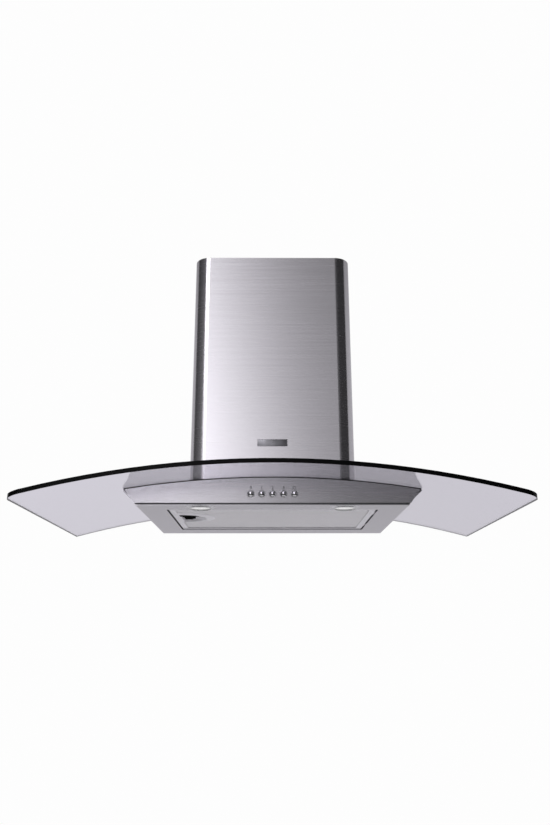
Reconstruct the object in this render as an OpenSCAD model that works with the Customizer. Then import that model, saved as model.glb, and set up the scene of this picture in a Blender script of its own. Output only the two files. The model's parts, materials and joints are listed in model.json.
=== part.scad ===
// Wall-mounted chimney range hood with an arched glass canopy.
// Row frame: X to the right, +Y into the wall, +Z up. The wall is the plane y = 0.
// The origin is the centre of the four wall bolts. Inside each module, heights are measured
// from the hood's flat underside, and hung() then moves the piece to the row frame.

/* [Glass canopy] */
// Width of the glass
glass_w = 900; // [840:10:960]
// Depth of the glass, from the wall to its front edge
glass_d = 500; // [480:5:520]
// Thickness of the glass
glass_t = 8; // [7:0.5:8]
// How far the glass drops from its crown to its tips
glass_rise = 60; // [56:1:60]
// Radius of the two front corners in plan
glass_corner_r = 25; // [10:1:40]

/* [Body] */
// Width of the flat underside
body_w = 500; // [480:2:510]
// Width of the fascia across its top corners
fascia_top_w = 544; // [530:2:556]
// Depth of the body, from the wall to the fascia's face
body_d = 385; // [380:1:392]
// Height of the glass's lower surface over the underside, at the crown
crown_h = 52; // [48:1:54]
// Thickness of the seal between body and glass
seal_t = 2; // [1.5:0.5:3]
// Height of the wall bolts' centre over the underside
hang_h = 200; // [190:5:205]

/* [Grease filter] */
// Width of the filter opening
filter_open_w = 400; // [390:2:410]
// Distance from the fascia's face to the filter opening
filter_setback = 56; // [55.5:0.5:58]
// Depth of the filter opening, front to back
filter_open_d = 269; // [262:1:269]
// Gap between the filter and its opening
filter_gap = 2.5; // [2.5:0.5:4.5]
// Height of the filter frame
filter_h = 9; // [8.5:0.5:9.5]

/* [Lamps and buttons] */
// Distance of each lamp from the middle
lamp_x = 134; // [130:1:145]
// Radius of a lamp's chrome bezel
lamp_r = 27; // [26:0.5:27]
// Distance between two buttons
button_pitch = 20; // [18:0.5:22]
// Height of the buttons over the underside
button_h = 20; // [19:0.5:20.5]
// How far a button is pushed in
button_travel = 3; // [2:0.5:4]

/* [Chimney] */
// Width of the lower chimney cover
chimney_w = 332; // [330:1:336]
// Depth of the lower chimney cover
chimney_d = 285; // [283:1:290]
// Radius of the cover's front corners
chimney_corner_r = 32; // [28:1:36]
// Height of the cover's top over the underside
chimney_top_h = 554; // [550:2:600]

/* [Blower] */
// Outer radius of the impeller
impeller_r = 86; // [82:1:88]
// Number of blades
blade_count = 30; // [24:1:36]
// Outer radius of the round outlet
outlet_r = 75; // [75]

/* [Hidden] */
$fn = 96;

sheet = 1.2;              // body sheet
cover_t = 1;              // chimney cover sheet
plate_t = 1.5;            // wall plate
ARC_FN = 720;             // for the arch, whose radius is large

// The arch: its lower surface is part of a cylinder along Y
arch_r = (pow(glass_w / 2, 2) + pow(glass_rise, 2)) / (2 * glass_rise);
arch_z = crown_h - arch_r;
function under_glass(x) = arch_z + sqrt(arch_r * arch_r - x * x);

// Fascia and side walls
corner_h = under_glass(fascia_top_w / 2);
function side_x(z) = body_w / 2 + (fascia_top_w - body_w) / 2 * z / corner_h;
wall_break_h = 13;        // height where a side wall starts to flare
wall_top_x = 276;         // half-width of the body under the glass
fascia_low = 3.5;         // shadow gap under the fascia
return_d = 12;            // depth of the fascia's folded edge
panel_t = 1;
panel_front = -body_d + 4;
deck_h = 22;              // underside of the deck
deck_top = deck_h + sheet;
wall_flare = (wall_top_x - side_x(wall_break_h)) / (under_glass(wall_top_x) - wall_break_h);
deck_half = side_x(wall_break_h) + wall_flare * (deck_h - wall_break_h) - sheet - 0.5;
deck_hole_low = [-115, -240, deck_h - 1];   // air passes up to the motor box here
deck_hole_high = [115, -35, deck_top + 1];
switch_hole_back = -337;

// Wall plate and bolts
bolt_dx = 200;
bolt_dz = 210;
bolt_hole_r = 4;
tongue_w = 256;
tongue_top = 330;

// Motor box, which hangs through the cut-out in the glass
blower_y = -140;
box_w = 256;
box_front = -262;
box_back = -18;
box_top = 302;
box_t = 1;
flange_out = 7;
cutout_w = 272;
cutout_front = -270;

// Blower
fan_h = 165;
scroll_r = 116;
scroll_half_w = 75;
scroll_t = 1.5;
scroll_mouth_r = 70;
outlet_half = 75;
impeller_half_w = 60;
shaft_r = 4;
motor_r = 45;
motor_x = [-92, -12];
bearing_r = 8;
bush_r = 6;
bush_circle_r = 90;

// Outlet collar and its dampers
collar_t = 1.5;
collar_h = 50;
pin_h = 320;
damper_pin_r = 1.5;
knuckle_r = 3;
flap_r = outlet_r - collar_t - 1;
flap_t = 1;

// Chimney covers
cover_gap = 1.5;
lower_back = -plate_t;
lip_w = 18;
upper_bottom = 62;
upper_top = 548;
cover_bracket_z = [515, 545];
cover_screw_x = 157;

// Grease filter
filter_front = -body_d + filter_setback;
filter_back = filter_front + filter_open_d;
filter_low = 1.7;
filter_border = 12;
filter_x = filter_open_w / 2 - filter_gap;
filter_y = [filter_front + filter_gap, filter_back - filter_gap];
filter_t = 1;
mesh_low = 6.5;
cup_r = 46;
cup_wall = 1.2;
cup_x = -filter_x + filter_border + 7.5;
cup_y = -215;
cup_floor = 8.3;
latch_y = -210;
tongue_half = 6;
tab_half = 11;
tongue_z = [4.9, 8.1];
latch_tip = -filter_open_w / 2 + 0.4;

// Lamps
lamp_y = -body_d + 28.2;
lamp_neck_r = 23.6;
lens_r = 19.5;

// Where the wiring passes the glass
loom_x = 131.5;
loom_y = -150;

// Glass screws
glass_screw_x = 151;
glass_screw_y = [-60, -215];
screw_tilt = asin(glass_screw_x / arch_r);
washer_t = 1;
washer_r = 8;
washer_hole_r = 3.3;      // loose, because the screw crosses the tilted washer upright
screw_head_r = 4.8;
// The head rests on the washer's higher edge
washer_top = arch_z + (arch_r + glass_t + washer_t + 0.1) * cos(screw_tilt)
    + screw_head_r * sin(screw_tilt);

// ---- Helpers -------------------------------------------------------------

// Moves a piece from underside heights to the row frame
module hung() {
    translate([0, 0, -hang_h]) children();
}

// Extrudes an outline drawn in X and Z from y0 back to y1
module along_y(y0, y1) {
    translate([0, y1, 0]) rotate([90, 0, 0]) linear_extrude(y1 - y0) children();
}

// Extrudes an outline drawn in Y and Z from x0 to x1
module along_x(x0, x1) {
    translate([x0, 0, 0]) rotate([90, 0, 90]) linear_extrude(x1 - x0) children();
}

module rod_x(r, x0, x1) {
    translate([x0, 0, 0]) rotate([0, 90, 0]) cylinder(r = r, h = x1 - x0);
}

module rod_y(r, y0, y1) {
    translate([0, y1, 0]) rotate([90, 0, 0]) cylinder(r = r, h = y1 - y0);
}

// A block between two corners
module block(low, high) {
    translate(low) cube(high - low);
}

// Disc of the arch: everything under the glass, grown by a radial distance
module arch_disc(grow) {
    intersection() {
        translate([0, arch_z]) circle(r = arch_r + grow, $fn = ARC_FN);
        translate([-glass_w / 2 - 10, -30]) square([glass_w + 20, 120]);
    }
}

function unit(v) = v / norm(v);

// A wire bent through a list of points, with eight flats round it
module wire(points, r) {
    sides = 8;
    last = len(points) - 1;
    away = [0.6, 0.7, 0.1]; // not along any stretch of the wires
    rings = [
        for (i = [0 : last])
            let (
                before = unit(points[max(i, 1)] - points[max(i, 1) - 1]),
                after = unit(points[min(i, last - 1) + 1] - points[min(i, last - 1)]),
                u = unit(cross(before + after, away)),
                v = unit(cross(before + after, u))
            )
            for (k = [0 : sides - 1])
                points[i] + r * (cos(360 * k / sides) * u + sin(360 * k / sides) * v)
    ];
    skin = [
        for (i = [0 : last - 1])
            for (k = [0 : sides - 1])
                let (a = i * sides + k, b = i * sides + (k + 1) % sides)
                for (face = [[a, a + sides, b + sides], [a, b + sides, b]]) face
    ];
    start = [for (k = [0 : sides - 1]) k];
    end = [for (k = [sides - 1 : -1 : 0]) last * sides + k];
    polyhedron(rings, concat([start], skin, [end]));
}

// A coil spring along +Z, swept through its own turns
module coil(coil_r, wire_r, turns, length) {
    sides = 5;
    steps = 10 * turns;
    rise = length - 2 * wire_r;
    points = [
        for (i = [0 : steps])
            for (k = [0 : sides - 1])
                let (a = 360 * turns * i / steps, b = 360 * k / sides)
                [
                    (coil_r + wire_r * cos(b)) * cos(a),
                    (coil_r + wire_r * cos(b)) * sin(a),
                    wire_r + rise * i / steps + wire_r * sin(b),
                ]
    ];
    skin = [
        for (i = [0 : steps - 1])
            for (k = [0 : sides - 1])
                let (a = i * sides + k, b = i * sides + (k + 1) % sides)
                for (face = [[a, a + sides, b + sides], [a, b + sides, b]]) face
    ];
    first = [for (k = [0 : sides - 1]) k];
    last = [for (k = [sides - 1 : -1 : 0]) steps * sides + k];
    polyhedron(points, concat([first], skin, [last]));
}

// ---- Glass canopy --------------------------------------------------------

module glass_outline() {
    r = glass_corner_r;
    translate([-glass_w / 2, -glass_d + r]) square([glass_w, glass_d - r]);
    translate([-glass_w / 2 + r, -glass_d]) square([glass_w - 2 * r, 2 * r]);
    for (side = [-1, 1])
        translate([side * (glass_w / 2 - r), -glass_d + r]) circle(r = r);
}

module glass_screw_spots() {
    for (x = [-glass_screw_x, glass_screw_x])
        for (y = glass_screw_y)
            translate([x, y]) children();
}

module glass_canopy() {
    color("lightsteelblue", 0.6) hung() intersection() {
        along_y(-glass_d - 10, 10) difference() {
            arch_disc(glass_t);
            arch_disc(0);
        }
        translate([0, 0, -20]) linear_extrude(90) difference() {
            glass_outline();
            translate([-cutout_w / 2, cutout_front]) square([cutout_w, 20 - cutout_front]);
            glass_screw_spots() circle(r = 4);
        }
    }
}

module seal_band(x0, x1) {
    intersection() {
        difference() {
            arch_disc(0);
            arch_disc(-seal_t);
        }
        translate([x0, -30]) square([x1 - x0, 120]);
    }
}

module glass_seal() {
    half = fascia_top_w / 2;
    color("dimgray") hung() {
        along_y(-body_d, -body_d + return_d) seal_band(-half, half);
        along_y(-body_d + return_d, -plate_t) seal_band(half - 3, wall_top_x - 0.5);
        along_y(-body_d + return_d, -plate_t) seal_band(0.5 - wall_top_x, 3 - half);
    }
}

// Cuts a piece off at the glass's lower surface, less a gap
module below_glass(gap) {
    intersection() {
        children();
        along_y(-glass_d, 0) arch_disc(-gap);
    }
}

// Cuts away what is under the glass's upper surface, plus a gap
module above_glass(gap) {
    difference() {
        children();
        along_y(-glass_d - 1, 1) arch_disc(glass_t + gap);
    }
}

module glass_standoffs() {
    color("silver") hung() below_glass(washer_t + 0.1) difference() {
        translate([0, 0, deck_top]) linear_extrude(40) glass_screw_spots() circle(r = 6);
        translate([0, 0, deck_h]) linear_extrude(60) glass_screw_spots() circle(r = 2.6);
    }
}

// A washer under the glass and one over it at each screw, square to the arch
module glass_washers() {
    lift = 0.03;
    color("black") hung()
        for (side = [-1, 1])
            for (y = glass_screw_y)
                for (r = [arch_r - washer_t - lift, arch_r + glass_t + lift])
                    translate([0, y, arch_z]) rotate([0, side * screw_tilt, 0])
                        translate([0, 0, r]) difference() {
                            cylinder(r = washer_r, h = washer_t);
                            translate([0, 0, -1]) cylinder(r = washer_hole_r, h = washer_t + 2);
                        }
}

module glass_screws() {
    color("silver") hung() {
        translate([0, 0, deck_h - 2]) linear_extrude(washer_top - deck_h + 2)
            glass_screw_spots() circle(r = 2.5);
        translate([0, 0, washer_top]) linear_extrude(3) glass_screw_spots() circle(r = screw_head_r);
    }
}

// ---- Body ----------------------------------------------------------------

// Face of the fascia: slanted ends and an arched top
module fascia_outline(inset, low) {
    high = crown_h + 20;
    intersection() {
        polygon([
            [inset - side_x(low), low],
            [side_x(low) - inset, low],
            [side_x(high) - inset, high],
            [inset - side_x(high), high],
        ]);
        arch_disc(-seal_t - inset);
    }
}

module button_spots() {
    for (i = [-2 : 2]) translate([i * button_pitch, 0, button_h]) children();
}

module front_fascia() {
    color("silver") hung() difference() {
        union() {
            along_y(-body_d, -body_d + sheet) fascia_outline(0, fascia_low);
            along_y(-body_d, -body_d + return_d) difference() {
                fascia_outline(0, fascia_low);
                fascia_outline(sheet, fascia_low - 5);
            }
        }
        button_spots() rod_y(6.05, -body_d - 1, -body_d + 5);
    }
}

// Right-hand side wall: it leans out, and flares more under the glass
module side_wall() {
    high = 40;
    high_x = side_x(wall_break_h) + wall_flare * (high - wall_break_h);
    along_y(-body_d + sheet, -plate_t) intersection() {
        polygon([
            [side_x(0) - sheet, 0],
            [side_x(0), 0],
            [side_x(wall_break_h), wall_break_h],
            [high_x, high],
            [high_x - sheet, high],
            [side_x(wall_break_h) - sheet, wall_break_h],
        ]);
        arch_disc(-seal_t);
    }
}

// The wall's front end stands behind the fascia's folded edge
module behind_fascia() {
    difference() {
        children();
        along_y(-body_d - 1, -body_d + return_d) fascia_outline(0, -1);
    }
}

module side_wall_left() {
    color("silver") hung() behind_fascia() mirror([1, 0, 0]) side_wall();
}

module side_wall_right() {
    color("silver") hung() behind_fascia() side_wall();
}

module underside_panel() {
    half = side_x(0) - sheet;
    color("silver") hung() difference() {
        block([-half, panel_front, 0], [half, -plate_t, panel_t]);
        block([-filter_open_w / 2, filter_front, -1], [filter_open_w / 2, filter_back, 2]);
        for (x = [-lamp_x, lamp_x])
            translate([x, lamp_y, -1]) cylinder(r = lamp_neck_r + 0.2, h = 3);
    }
}

module loom_hole() {
    translate([loom_x, loom_y]) circle(r = 2.9);
}

module box_screw_spots() {
    for (x = [-131.7, 131.7])
        for (y = [-215, -45])
            translate([x, y]) children();
}

module top_deck() {
    color("gainsboro") hung() difference() {
        block([-deck_half, -body_d + return_d + 0.5, deck_h], [deck_half, -plate_t, deck_top]);
        block(deck_hole_low, deck_hole_high);
        block([-58, -body_d, deck_h - 1], [58, switch_hole_back, deck_top + 1]);
        translate([0, 0, deck_h - 1]) linear_extrude(4) {
            glass_screw_spots() circle(r = 2.6);
            box_screw_spots() circle(r = 1.6);
            loom_hole();
        }
    }
}

module rear_plate() {
    color("gainsboro") hung() difference() {
        union() {
            along_y(-plate_t, 0) intersection() {
                polygon([
                    [-side_x(0), 0],
                    [side_x(0), 0],
                    [wall_top_x, corner_h],
                    [wall_top_x, crown_h],
                    [-wall_top_x, crown_h],
                    [-wall_top_x, corner_h],
                ]);
                arch_disc(-seal_t);
            }
            block([-tongue_w / 2, -plate_t, 20], [tongue_w / 2, 0, tongue_top]);
        }
        for (x = [-bolt_dx / 2, bolt_dx / 2])
            for (z = [-bolt_dz / 2, bolt_dz / 2])
                translate([x, 0, hang_h + z]) rod_y(bolt_hole_r, -5, 5);
    }
}

module badge_plate() {
    color("dimgray") hung()
        block([-30, -chimney_d - 0.8, 135], [30, -chimney_d, 149]);
}

// ---- Blower --------------------------------------------------------------

module motor_box() {
    half = box_w / 2;
    color("gainsboro") hung() difference() {
        union() {
            block([-half, box_front, deck_top], [half, box_back, box_top]);
            block([-half - flange_out, box_front - flange_out, deck_top],
                  [half + flange_out, box_back + flange_out, deck_top + sheet]);
        }
        block([box_t - half, box_front + box_t, deck_top - 1],
              [half - box_t, box_back - box_t, box_top - box_t]);
        translate([0, blower_y, box_top - 5]) cylinder(r = outlet_r - collar_t, h = 10);
        translate([0, 0, deck_h]) linear_extrude(5) {
            box_screw_spots() circle(r = 1.6);
            loom_hole();
        }
    }
}

module box_screws() {
    color("silver") hung() {
        translate([0, 0, deck_h - 2]) linear_extrude(2 + 2 * sheet)
            box_screw_spots() circle(r = 1.5);
        translate([0, 0, deck_top + sheet]) linear_extrude(2)
            box_screw_spots() circle(r = 3);
    }
}

module scroll_outline(inset) {
    top = box_top - box_t;
    translate([blower_y, fan_h]) circle(r = scroll_r - inset);
    translate([blower_y - outlet_half + inset, fan_h])
        square([2 * (outlet_half - inset), top - fan_h + (inset > 0 ? 1 : 0)]);
}

// Right-hand half of the scroll, open where it meets the other half
module scroll_half() {
    difference() {
        along_x(0, scroll_half_w) scroll_outline(0);
        along_x(-1, scroll_half_w - scroll_t) scroll_outline(scroll_t);
        translate([0, blower_y, fan_h]) rod_x(scroll_mouth_r, 0, scroll_half_w + 1);
    }
}

module scroll_right() {
    color("slategray") hung() scroll_half();
}

module scroll_left() {
    color("slategray") hung() mirror([1, 0, 0]) scroll_half();
}

// Bell mouth that leads air into the impeller
module inlet_ring() {
    translate([0, blower_y, fan_h]) rotate([0, 90, 0]) rotate_extrude() {
        translate([66.5, scroll_half_w]) square([13.5, 1.2]);
        translate([66.5, impeller_half_w + 2]) square([1.5, 14.2]);
    }
}

module inlet_ring_right() {
    color("dimgray") hung() inlet_ring();
}

module inlet_ring_left() {
    color("dimgray") hung() mirror([1, 0, 0]) inlet_ring();
}

module impeller() {
    blade_w = impeller_r - 71;
    color("lightgray") hung() translate([0, blower_y, fan_h]) {
        difference() {
            union() {
                along_x(-impeller_half_w, impeller_half_w)
                    for (i = [1 : blade_count])
                        rotate(360 * i / blade_count)
                            translate([impeller_r - 1 - blade_w / 2, 0])
                                rotate(30) square([blade_w, 1.2], center = true);
                for (x = [-impeller_half_w, impeller_half_w - 3])
                    difference() {
                        rod_x(impeller_r, x, x + 3);
                        rod_x(impeller_r - 16, x - 1, x + 4);
                    }
                rod_x(impeller_r - 2, -1, 1);
                rod_x(10, 0, 13);
            }
            rod_x(shaft_r, -5, 20);
        }
    }
}

module motor_shaft() {
    color("silver") hung() translate([0, blower_y, fan_h]) {
        rod_x(shaft_r, -98, 15);
        rod_x(18, motor_x[0] + 14, motor_x[1] - 14);
    }
}

module motor_body() {
    color("darkgray") hung() translate([0, blower_y, fan_h]) difference() {
        rod_x(motor_r, motor_x[0], motor_x[1]);
        rod_x(20, motor_x[0] + 10, motor_x[1] - 10);
        rod_x(bearing_r, motor_x[0] - 1, motor_x[1] + 1);
    }
}

module motor_bearings() {
    color("gray") hung() translate([0, blower_y, fan_h]) difference() {
        for (x = [motor_x[0] + 1, motor_x[1] - 8]) rod_x(bearing_r, x, x + 7);
        rod_x(shaft_r + 0.04, motor_x[0] - 1, motor_x[1] + 1);
    }
}

module bush_spots() {
    for (a = [90, 210, 330])
        rotate([a, 0, 0]) translate([0, bush_circle_r, 0]) children();
}

module motor_bracket() {
    x0 = motor_x[0] - 4;
    x1 = motor_x[0];
    color("darkgray") hung() translate([0, blower_y, fan_h]) difference() {
        union() {
            rod_x(motor_r - 2, x0, x1);
            for (a = [90, 210, 330])
                rotate([a, 0, 0]) block([x0, 30, -6], [x1, bush_circle_r, 6]);
            bush_spots() rod_x(9, x0, x1);
        }
        rod_x(30, x0 - 1, x1 + 1);
        bush_spots() rod_x(bush_r - 2, x0 - 1, x1 + 1);
    }
}

// Rubber bushes between the bracket's arms and the scroll
module motor_bushes() {
    color("black") hung() translate([0, blower_y, fan_h]) bush_spots() {
        rod_x(bush_r + 1.5, motor_x[0], -scroll_half_w);
        rod_x(bush_r - 2, motor_x[0] - 6, motor_x[0]);
    }
}

module capacitor() {
    color("white") hung() translate([box_w / 2 + 13, 0, 110]) {
        rod_y(13, -218, -170);
        rod_y(3, -170, -164);
    }
}

// ---- Outlet and dampers --------------------------------------------------

module outlet_collar() {
    inner = outlet_r - collar_t;
    color("dimgray") hung() translate([0, blower_y, 0]) difference() {
        union() {
            translate([0, 0, box_top]) cylinder(r = outlet_r + 10, h = sheet);
            translate([0, 0, box_top]) cylinder(r = outlet_r, h = collar_h);
        }
        translate([0, 0, box_top - 1]) difference() {
            cylinder(r = inner, h = collar_h + 2);
            // ledge that the closed flaps rest over
            translate([0, 0, pin_h - box_top - 2.8]) difference() {
                cylinder(r = outlet_r, h = 3);
                translate([0, 0, -1]) cylinder(r = inner - 3, h = 5);
                block([-8, -outlet_r, -1], [8, outlet_r, 5]);
            }
        }
        translate([0, 0, pin_h]) rod_y(damper_pin_r, -outlet_r + 0.7, outlet_r - 0.7);
    }
}

module damper_pin() {
    color("silver") hung() translate([0, blower_y, pin_h])
        rod_y(damper_pin_r, -outlet_r + 0.7, outlet_r - 0.7);
}

// Half-round flap on the +X side; its knuckles start at the given places along the pin
module damper_flap(knuckles) {
    knuckle_w = 14;
    difference() {
        union() {
            intersection() {
                translate([0, 0, -flap_t / 2]) cylinder(r = flap_r, h = flap_t);
                block([knuckle_r + 0.8, -flap_r, -5], [flap_r, flap_r, 5]);
            }
            for (y = knuckles) {
                rod_y(knuckle_r, y, y + knuckle_w);
                block([0, y, -flap_t / 2], [knuckle_r + 2, y + knuckle_w, flap_t / 2]);
            }
        }
        rod_y(damper_pin_r + 0.06, -flap_r - 1, flap_r + 1);
    }
}

module damper_flap_right() {
    color("gray") hung() translate([0, blower_y, pin_h]) damper_flap([-60, 20]);
}

module damper_flap_left() {
    color("gray") hung() translate([0, blower_y, pin_h])
        mirror([1, 0, 0]) damper_flap([-36, 44]);
}

// ---- Chimney -------------------------------------------------------------

module front_rounded(w, d, r, back) {
    translate([-w / 2, -d + r]) square([w, d - r + back]);
    translate([-w / 2 + r, -d]) square([w - 2 * r, 2 * r]);
    for (side = [-1, 1]) translate([side * (w / 2 - r), -d + r]) circle(r = r);
}

// Plan of a cover: a channel with rounded front corners and lips at the back
module cover_plan(w, d, r, back) {
    difference() {
        front_rounded(w, d, r, back);
        front_rounded(w - 2 * cover_t, d - cover_t, r - cover_t, back - cover_t);
        translate([lip_w - w / 2, back - 5]) square([w - 2 * lip_w, 10]);
    }
}

module chimney_lower_cover() {
    color("silver") hung() difference() {
        above_glass(0.3) linear_extrude(chimney_top_h)
            cover_plan(chimney_w, chimney_d, chimney_corner_r, lower_back);
        cover_screw_spots() rod_y(3.02, -5, 5);
    }
}

module chimney_upper_cover() {
    inset = cover_t + cover_gap;
    color("silver") hung() translate([0, 0, upper_bottom])
        linear_extrude(upper_top - upper_bottom)
            cover_plan(chimney_w - 2 * inset, chimney_d - inset,
                       chimney_corner_r - inset, lower_back - cover_t - 0.5);
}

module cover_screw_spots() {
    z0 = cover_bracket_z[0];
    z1 = cover_bracket_z[1];
    for (x = [-cover_screw_x, cover_screw_x])
        for (z = [z0 + 7, z1 - 7])
            translate([x, 0, z]) children();
}

module chimney_bracket() {
    z0 = cover_bracket_z[0];
    z1 = cover_bracket_z[1];
    half = chimney_w / 2 - 3;
    color("gainsboro") hung() difference() {
        union() {
            block([-half, -plate_t, z0], [half, 0, z1]);
            block([-130, -12, z0], [130, -plate_t, z0 + plate_t]);
        }
        cover_screw_spots() rod_y(2, -5, 5);
        for (x = [-100, 100])
            translate([x, 0, (z0 + z1) / 2]) rod_y(bolt_hole_r, -5, 5);
    }
}

// Flush screws that hold the lower cover's lips to the bracket
module chimney_screws() {
    color("gray") hung() cover_screw_spots() {
        rod_y(3, lower_back - cover_t, lower_back);
        rod_y(1.9, lower_back, -0.2);
    }
}

// ---- Grease filter -------------------------------------------------------

module filter_box(inset, z0, z1) {
    block([inset - filter_x, filter_y[0] + inset, z0],
          [filter_x - inset, filter_y[1] - inset, z1]);
}

// Slot for the latch's tongue, through the frame, the mesh and the cup's wall
module latch_slot() {
    block([-filter_x - 1, latch_y - tongue_half - 0.4, tongue_z[0] - 0.3],
          [cup_x, latch_y + tongue_half + 0.4, tongue_z[1] + 0.3]);
}

module filter_frame() {
    high = filter_low + filter_h;
    tab_low = 2.2;
    color("lightgray") hung() {
        difference() {
            filter_box(0, filter_low, high);
            filter_box(filter_t, filter_low + 0.8, high - 0.8);
            filter_box(filter_border, 0, high + 1);
            latch_slot();
        }
        for (y = [filter_y[0] + 40, filter_y[1] - 70])
            block([filter_x, y, tab_low], [filter_x + 7.5, y + 30, tab_low + sheet]);
    }
}

// D-shaped outline of the finger cup, flat towards the frame
module cup_outline(grow) {
    translate([cup_x, cup_y]) {
        intersection() {
            circle(r = cup_r + grow);
            translate([0, -cup_r - grow]) square([cup_r + grow, 2 * (cup_r + grow)]);
        }
        translate([-7.5 - grow, -cup_r - grow]) square([7.5 + grow, 2 * (cup_r + grow)]);
    }
}

module filter_mesh() {
    color("gainsboro") hung() difference() {
        filter_box(filter_t + 0.2, mesh_low, filter_low + filter_h - 0.8);
        linear_extrude(20) cup_outline(0.2);
        latch_slot();
    }
}

module filter_handle() {
    color("lightgray") hung() difference() {
        union() {
            translate([0, 0, filter_low - 1]) linear_extrude(1) cup_outline(3);
            translate([0, 0, filter_low - 1])
                linear_extrude(cup_floor + cup_wall - filter_low + 1) cup_outline(0);
        }
        translate([0, 0, -1]) linear_extrude(cup_floor + 1) cup_outline(-cup_wall);
        latch_slot();
    }
}

module filter_latch() {
    tab_x = [-179, -157];
    color("black") hung() {
        block([tab_x[0], latch_y - tab_half, 2.4], [tab_x[1], latch_y + tab_half, 8]);
        block([latch_tip, latch_y - tongue_half, tongue_z[0]],
              [tab_x[0], latch_y + tongue_half, tongue_z[1]]);
        for (x = [tab_x[0] + 3 : 5 : tab_x[1] - 3])
            block([x, latch_y - tab_half + 2, 1.6], [x + 2, latch_y + tab_half - 2, 2.4]);
    }
}

module latch_spring() {
    color("silver") hung() translate([-156.9, latch_y, 5.3]) rotate([0, 90, 0])
        coil(2, 0.35, 6, 22.6);
}

// ---- Lamps ---------------------------------------------------------------

module lamp_bezel() {
    inner = lens_r + 0.3;
    rotate_extrude() polygon([
        [inner, 0.8],
        [inner, -2.6],
        [inner + 1.5, -3.5],
        [inner + 4, -3.1],
        [lamp_r - 0.8, -1.1],
        [lamp_r, 0],
        [lamp_neck_r, 0],
        [lamp_neck_r, 4],
        [lamp_neck_r - 1, 4],
        [lamp_neck_r - 1, 0.8],
    ]);
}

module lamp_lens() {
    translate([0, 0, -2.4]) cylinder(r = lens_r, h = 1.6);
    translate([0, 0, -0.8]) cylinder(r = lens_r - 1.5, h = 1.6);
}

module lamp_housing() {
    difference() {
        translate([0, 0, 1]) cylinder(r = lamp_neck_r - 1.3, h = 20);
        cylinder(r = lamp_neck_r - 2.3, h = 20);
    }
}

// Halogen capsule standing on its ceramic base
module lamp_bulb() {
    translate([0, 0, 14]) cylinder(r = 7, h = 6);
    translate([0, 0, 6]) cylinder(r = 4.5, h = 8);
    translate([0, 0, 6]) sphere(r = 4.5);
}

module at_lamp(side) {
    translate([side * lamp_x, lamp_y, 0]) children();
}

module lamp_bezel_left() {
    color("silver") hung() at_lamp(-1) lamp_bezel();
}

module lamp_bezel_right() {
    color("silver") hung() at_lamp(1) lamp_bezel();
}

module lamp_lens_left() {
    color("white") hung() at_lamp(-1) lamp_lens();
}

module lamp_lens_right() {
    color("white") hung() at_lamp(1) lamp_lens();
}

module lamp_housing_left() {
    color("gainsboro") hung() at_lamp(-1) lamp_housing();
}

module lamp_housing_right() {
    color("gainsboro") hung() at_lamp(1) lamp_housing();
}

module lamp_bulb_left() {
    color("ivory") hung() at_lamp(-1) lamp_bulb();
}

module lamp_bulb_right() {
    color("ivory") hung() at_lamp(1) lamp_bulb();
}

// ---- Buttons and switch --------------------------------------------------

stem_r = 3;
cap_r = 5.3;
cap_dome_r = 9;
cap_back = -body_d + 1.5;
stem_back = -362;
switch_y = [-374, -350];

// Number 1 is at the left
module button(number) {
    color("silver") hung() translate([(number - 3) * button_pitch, 0, button_h]) {
        intersection() {
            rod_y(cap_r, -body_d - 5, cap_back);
            translate([0, -body_d - 4.4 + cap_dome_r, 0]) sphere(r = cap_dome_r);
        }
        rod_y(stem_r, cap_back, stem_back);
    }
}

module button_1() {
    button(1);
}

module button_2() {
    button(2);
}

module button_3() {
    button(3);
}

module button_4() {
    button(4);
}

module button_5() {
    button(5);
}

module button_bezels() {
    color("silver") hung() button_spots() difference() {
        union() {
            rod_y(7, -body_d - 1.2, -body_d);
            rod_y(6, -body_d, -body_d + 2.5);
        }
        rod_y(cap_r + 0.3, -body_d - 2, -body_d + 4);
    }
}

module button_springs() {
    length = switch_y[0] - cap_back - 0.2;
    color("gray") hung() button_spots()
        translate([0, switch_y[0] - 0.1, 0]) rotate([90, 0, 0]) coil(4.2, 0.4, 4, length);
}

module switch_body() {
    z0 = button_h - 9;
    z1 = button_h + 9;
    half = 2 * button_pitch + 12;
    color("dimgray") hung() difference() {
        union() {
            block([-half, switch_y[0], z0], [half, switch_y[1], z1]);
            for (i = [-4 : 4])
                block([10 * i - 2, switch_y[1], z1 - 6], [10 * i + 2, switch_y[1] + 6, z1 - 5]);
        }
        button_spots() rod_y(stem_r + 0.3, switch_y[0] - 1, stem_back + button_travel + 1);
    }
}

// ---- Wiring --------------------------------------------------------------

control_low = [box_w / 2, -200, 150];
control_high = [box_w / 2 + 24, -80, 260];

module control_box() {
    wall = 1.5;
    color("gray") hung() difference() {
        block(control_low, control_high);
        block(control_low + [wall, wall, wall], control_high + [1, -wall, -wall]);
        translate([140, -140, control_high.z - 3]) cylinder(r = 4, h = 6);
        translate([loom_x + 1.5, loom_y, control_low.z - 1]) cylinder(r = 2.8, h = 4);
    }
}

module control_box_cover() {
    color("darkgray") hung() block(
        [control_high.x, control_low.y, control_low.z],
        [control_high.x + 1.5, control_high.y, control_high.z]
    );
}

module transformer() {
    half = box_w / 2;
    color("darkslategray") hung() {
        block([-half - 22, -180, 80], [-half - 2, -120, 125]);
        block([-half - 2, -195, 85], [-half, -105, 120]);
    }
}

module cable_gland() {
    color("black") hung() translate([140, -140, control_high.z]) difference() {
        union() {
            cylinder(r = 9, h = 6, $fn = 6);
            cylinder(r = 7, h = 18);
        }
        translate([0, 0, -1]) cylinder(r = 4, h = 20);
    }
}

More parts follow.
